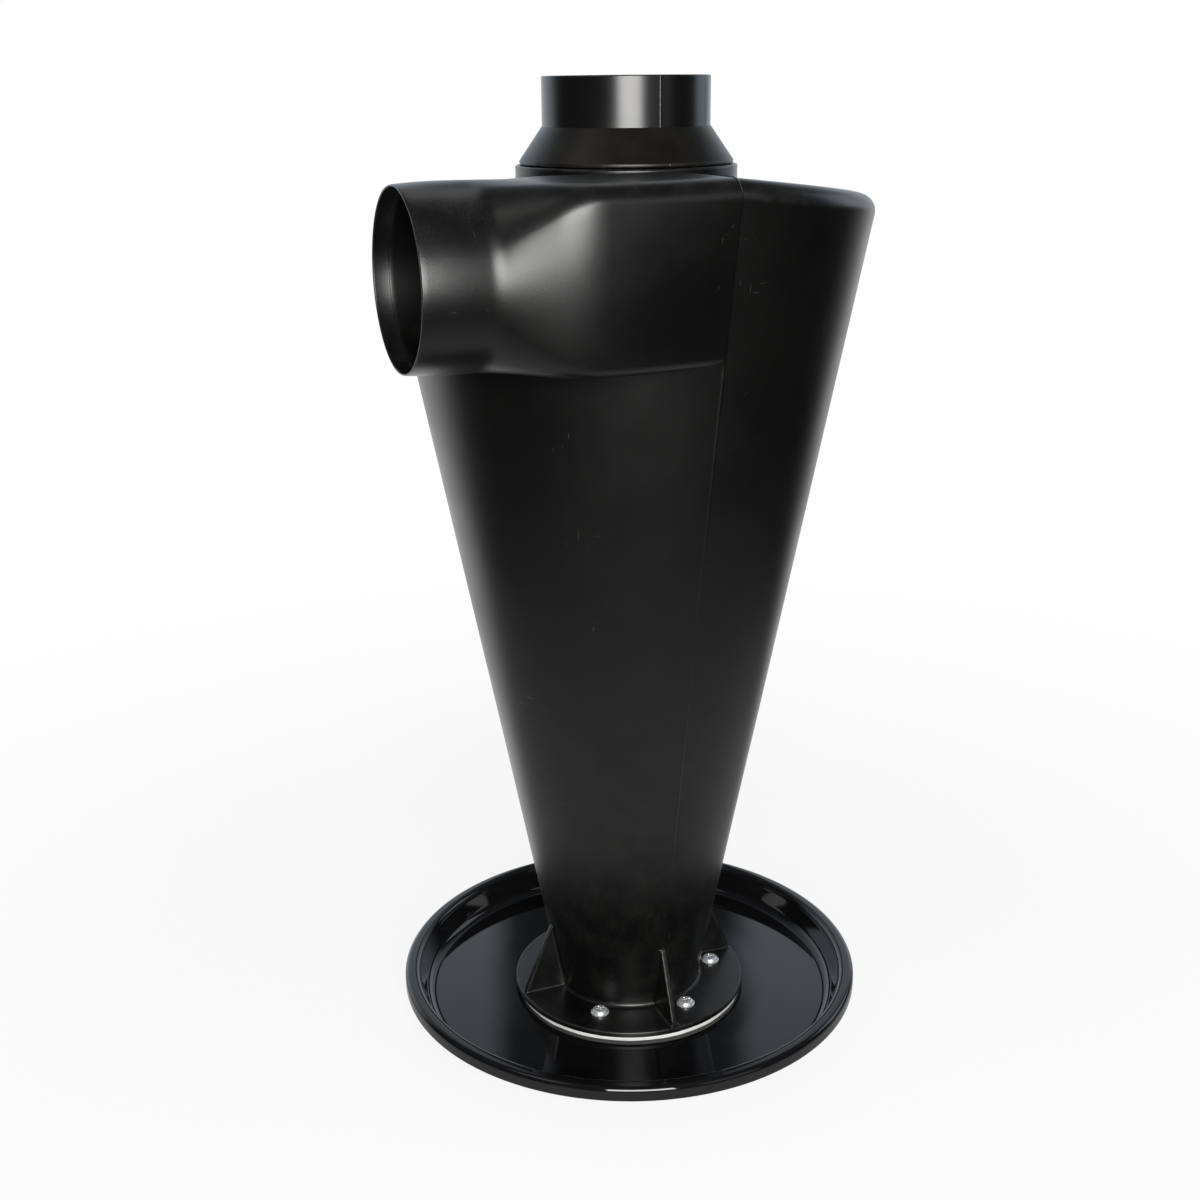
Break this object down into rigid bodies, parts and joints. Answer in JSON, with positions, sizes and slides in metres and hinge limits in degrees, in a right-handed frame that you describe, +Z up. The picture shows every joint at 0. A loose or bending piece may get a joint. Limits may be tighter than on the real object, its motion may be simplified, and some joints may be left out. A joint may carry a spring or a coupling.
{
  "type": "dust cyclone separator on a pail lid",
  "caption": "Black moulded conical dust cyclone with a tangential round inlet, falling spiral roof and top outlet reducer, screwed to a steel pail lid.",
  "frame": {"origin": "centre of the dust outlet, on the cone's axis at the underside of the lid's panel", "axes": "+Z up along the cone's axis towards the air outlet; the air inlet opens towards -X; the parting plane is X = 0"},
  "size_m": [0.3302, 0.3184, 0.623],
  "materials": {
    "body_plastic": "satin",
    "outlet_plastic": "semi-gloss",
    "lid_paint": "high gloss",
    "white_foam": "matt",
    "seal_rubber": "matt",
    "zinc": "bright zinc plate"
  },
  "bodies": {
    "root": {"cone_flange": "body_plastic", "duct_floor": "body_plastic", "duct_front_wall": "body_plastic", "duct_inner_wall": "body_plastic", "duct_roof": "body_plastic", "flange_gasket": "white_foam", "flange_screw_1": "zinc", "flange_screw_2": "zinc", "flange_screw_3": "zinc", "flange_screw_4": "zinc", "flange_screw_5": "zinc", "flange_screw_6": "zinc", "gusset_back": "body_plastic", "gusset_front": "body_plastic", "gusset_left": "body_plastic", "gusset_right": "body_plastic", "hub_ring": "body_plastic", "inlet_transition": "body_plastic", "inlet_tube": "body_plastic", "lid_nut_1": "zinc", "lid_nut_2": "zinc", "lid_nut_3": "zinc", "lid_nut_4": "zinc", "lid_nut_5": "zinc", "lid_nut_6": "zinc", "lid_panel": "lid_paint", "lid_rim": "lid_paint", "lid_seal": "seal_rubber", "lid_wall": "lid_paint", "lower_cone_left": "body_plastic", "lower_cone_right": "body_plastic", "outlet_collar": "outlet_plastic", "outlet_flare": "outlet_plastic", "scroll_roof_back_left": "body_plastic", "scroll_roof_back_right": "body_plastic", "scroll_roof_front_left": "body_plastic", "scroll_roof_front_right": "body_plastic", "scroll_wall_back_left": "body_plastic", "scroll_wall_back_right": "body_plastic", "scroll_wall_front_left": "body_plastic", "scroll_wall_front_right": "body_plastic", "upper_cone_left": "body_plastic", "upper_cone_right": "body_plastic", "vortex_tube": "outlet_plastic"}
  },
  "joints": []
}
